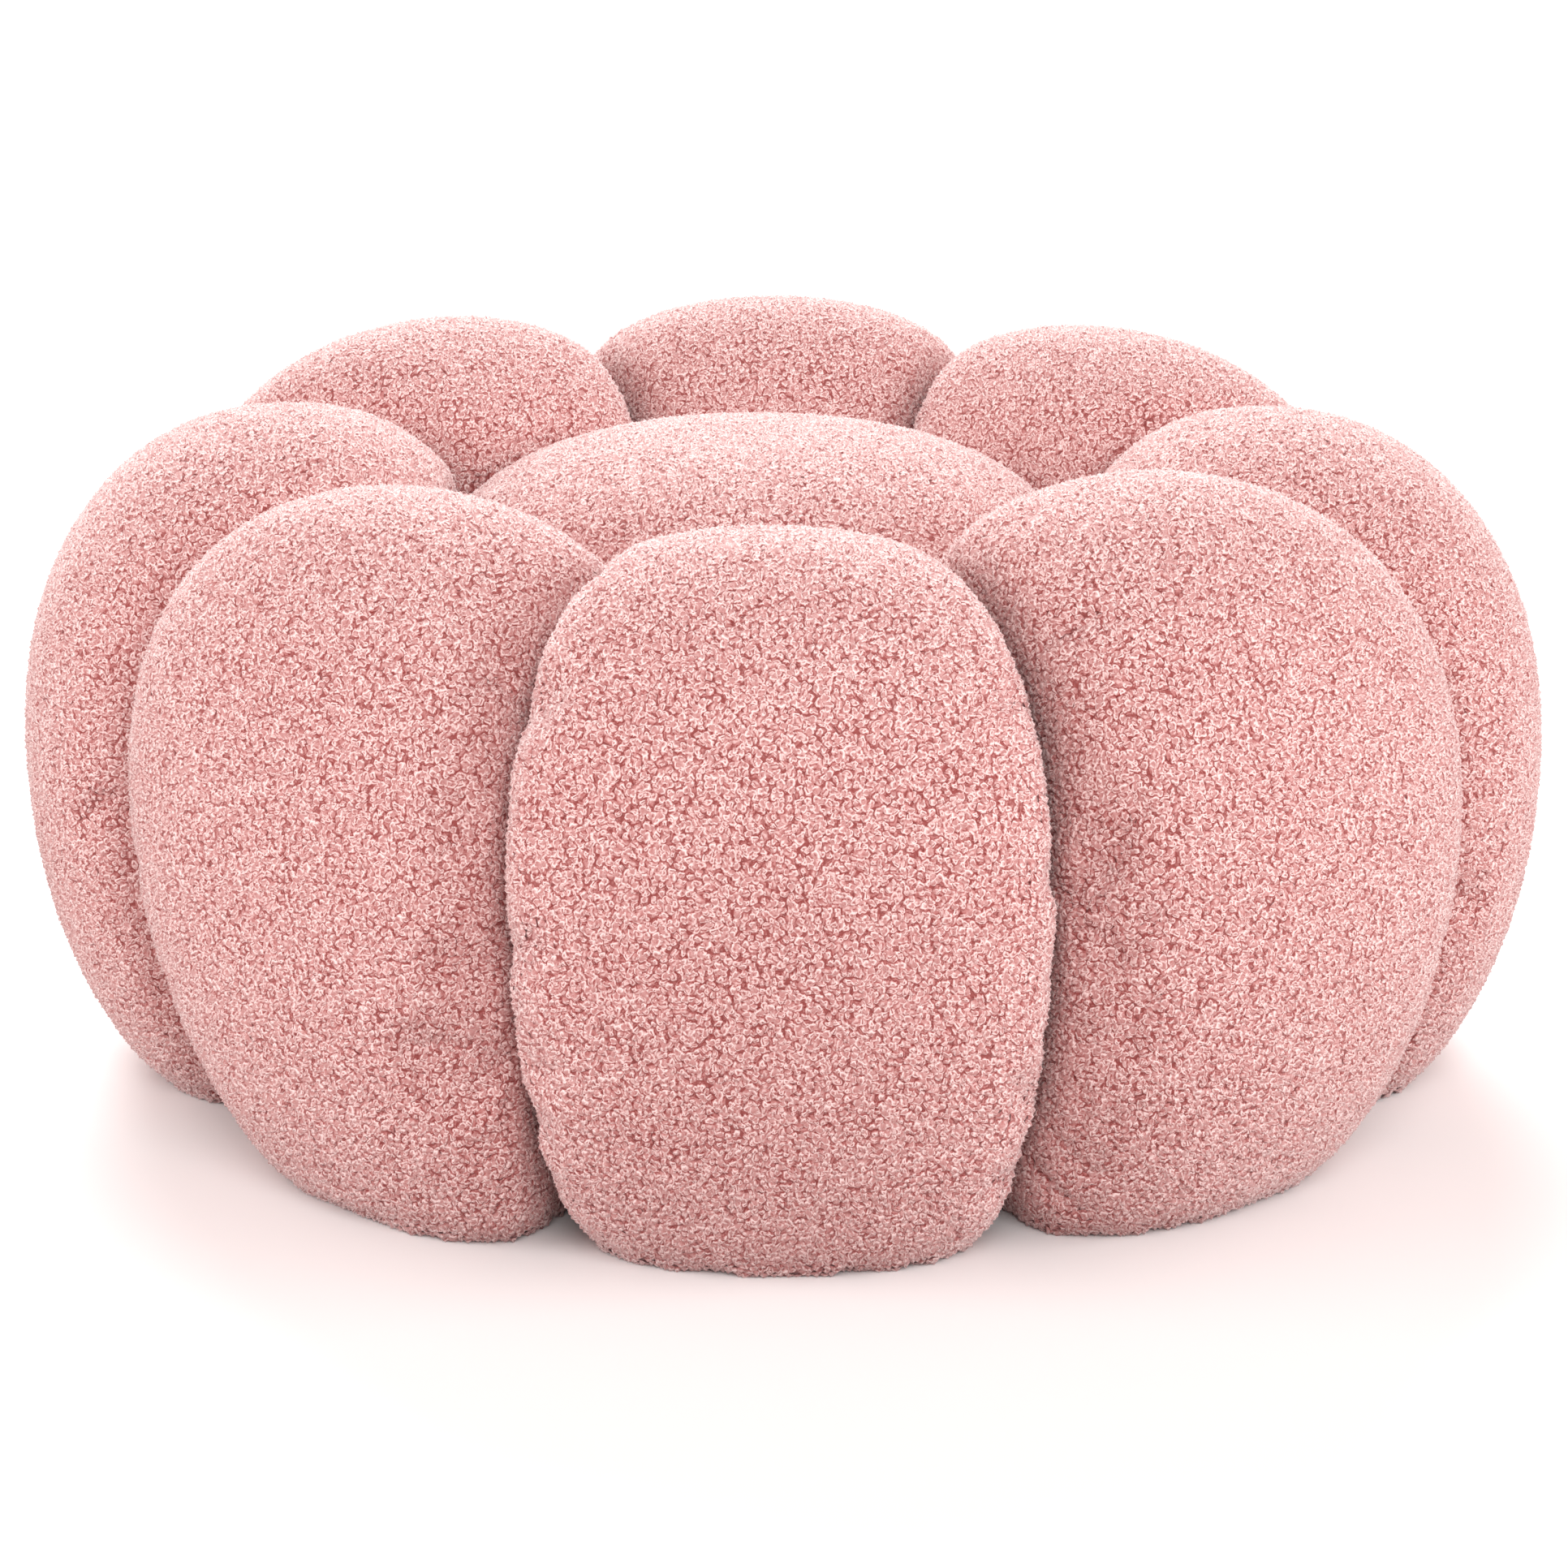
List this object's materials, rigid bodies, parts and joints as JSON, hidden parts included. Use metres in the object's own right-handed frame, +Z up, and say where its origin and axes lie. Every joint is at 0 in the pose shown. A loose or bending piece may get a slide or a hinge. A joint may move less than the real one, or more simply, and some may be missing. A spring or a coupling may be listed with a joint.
{
  "type": "boucle pouf",
  "caption": "Low round floor pouf with stuffed upright lobes in a ring round a domed seat cushion, covered in curly boucle.",
  "frame": {"origin": "floor level, under the middle of the pouf's bounding box", "axes": "+Z up, -Y towards the side that faces the viewer, +X to the viewer's right"},
  "size_m": [0.8058, 0.799, 0.371],
  "materials": {
    "boucle": "matt dusty pink boucle of small curled loops, soft and slightly fuzzy"
  },
  "bodies": {
    "root": {"seat_cushion": "boucle", "lobe_right": "boucle", "lobe_back_right": "boucle", "lobe_back": "boucle", "lobe_back_left": "boucle", "lobe_left": "boucle", "lobe_front_left": "boucle", "lobe_front": "boucle", "lobe_front_right": "boucle"}
  },
  "joints": []
}
